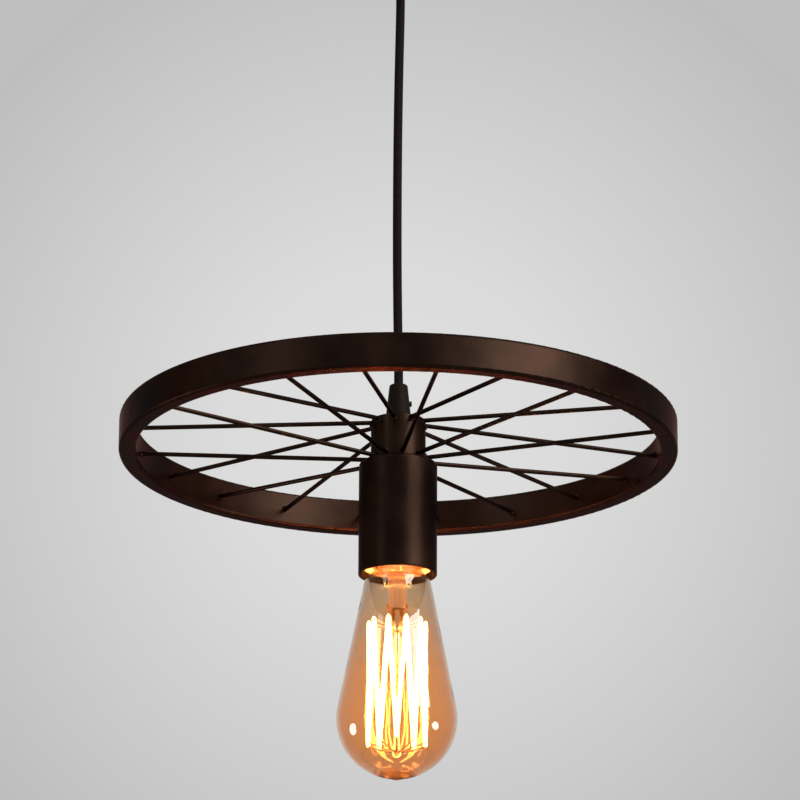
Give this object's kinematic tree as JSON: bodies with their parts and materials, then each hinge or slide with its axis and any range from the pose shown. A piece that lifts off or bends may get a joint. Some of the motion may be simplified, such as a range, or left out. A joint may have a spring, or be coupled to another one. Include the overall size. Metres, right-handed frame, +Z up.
{
  "type": "wagon wheel chandelier",
  "caption": "Wagon wheel pendant light: a spoked iron wheel on a cord, with a lamp cup under its hub, a filament bulb and a round ceiling canopy.",
  "frame": {"origin": "middle of the slotted ceiling bracket, on its upper face, where the lamp meets the ceiling", "axes": "+Z up into the ceiling along the cord; +X along the bracket through its two slots; the lamp hangs towards -Z"},
  "size_m": [0.3, 0.3, 0.4945],
  "materials": {
    "painted_iron": "matte dark brown, nearly black paint",
    "black_plastic": "satin black moulding",
    "black_steel": "blackened screw",
    "zinc_steel": "zinc plated",
    "cord_jacket": "matte black jacket",
    "bush_rubber": "soft black rubber",
    "brown_core": "brown insulation",
    "blue_core": "blue insulation",
    "connector_plastic": "natural white moulding",
    "porcelain": "white glazed porcelain",
    "brass": "rolled bright brass",
    "solder": "dull solder",
    "black_glass": "black vitrite glass",
    "amber_glass": "clear amber glass",
    "clear_glass": "clear glass",
    "support_metal": "drawn wire",
    "glowing_filament": "lit carbon-style wire"
  },
  "bodies": {
    "ceiling": {"ceiling_bracket": "zinc_steel", "canopy": "painted_iron", "canopy_screws": "black_steel", "terminal_block": "connector_plastic", "canopy_nipple": "zinc_steel", "canopy_locknut": "zinc_steel", "upper_cord_grip": "black_plastic", "upper_grip_screw": "black_steel", "upper_grip_bush": "bush_rubber", "cord_tail_upper": "cord_jacket", "brown_core_upper": "brown_core", "blue_core_upper": "blue_core"},
    "cord": {"flex_cord": "cord_jacket"},
    "lower_bush": {"lower_grip_bush": "bush_rubber", "cord_tail_lower": "cord_jacket"},
    "bulb": {"bulb_glass": "amber_glass", "bulb_cap": "brass", "cap_insulator": "black_glass", "cap_contact": "solder", "glass_stem": "clear_glass", "support_wires": "support_metal", "lead_wires": "support_metal", "filament": "glowing_filament"},
    "wheel": {"blue_core_lower": "blue_core", "brown_core_lower": "brown_core", "centre_contact": "brass", "cup_locknut": "zinc_steel", "holder_body": "porcelain", "holder_cap": "black_plastic", "holder_terminal_screws": "zinc_steel", "hub_shell": "painted_iron", "lamp_cup": "painted_iron", "lower_cord_grip": "black_plastic", "lower_grip_screw": "black_steel", "neutral_contact": "brass", "rim": "painted_iron", "screw_shell": "brass", "spoke_lower_01": "painted_iron", "spoke_lower_02": "painted_iron", "spoke_lower_03": "painted_iron", "spoke_lower_04": "painted_iron", "spoke_lower_05": "painted_iron", "spoke_lower_06": "painted_iron", "spoke_lower_07": "painted_iron", "spoke_lower_08": "painted_iron", "spoke_lower_09": "painted_iron", "spoke_lower_10": "painted_iron", "spoke_upper_01": "painted_iron", "spoke_upper_02": "painted_iron", "spoke_upper_03": "painted_iron", "spoke_upper_04": "painted_iron", "spoke_upper_05": "painted_iron", "spoke_upper_06": "painted_iron", "spoke_upper_07": "painted_iron", "spoke_upper_08": "painted_iron", "spoke_upper_09": "painted_iron", "spoke_upper_10": "painted_iron", "threaded_tube": "zinc_steel", "toothed_washer": "zinc_steel"}
  },
  "joints": [
    {"name": "cord_swing", "type": "hinge", "parent": "ceiling", "child": "cord", "pos_m": [0, 0, -0.0451], "axis": [1, 0, 0], "range_deg": [-20, 20]},
    {"name": "wheel_tilt", "type": "hinge", "parent": "cord", "child": "lower_bush", "pos_m": [0, 0, -0.276], "axis": [0, 1, 0], "range_deg": [-15, 15]},
    {"name": "wheel_turn", "type": "hinge", "parent": "lower_bush", "child": "wheel", "pos_m": [0, 0, -0.276], "axis": [0, 0, 1], "range_deg": [-180, 180]},
    {"name": "bulb_removal", "type": "slide", "parent": "wheel", "child": "bulb", "axis": [0, 0, -1], "range_m": [0, 0.026]}
  ]
}
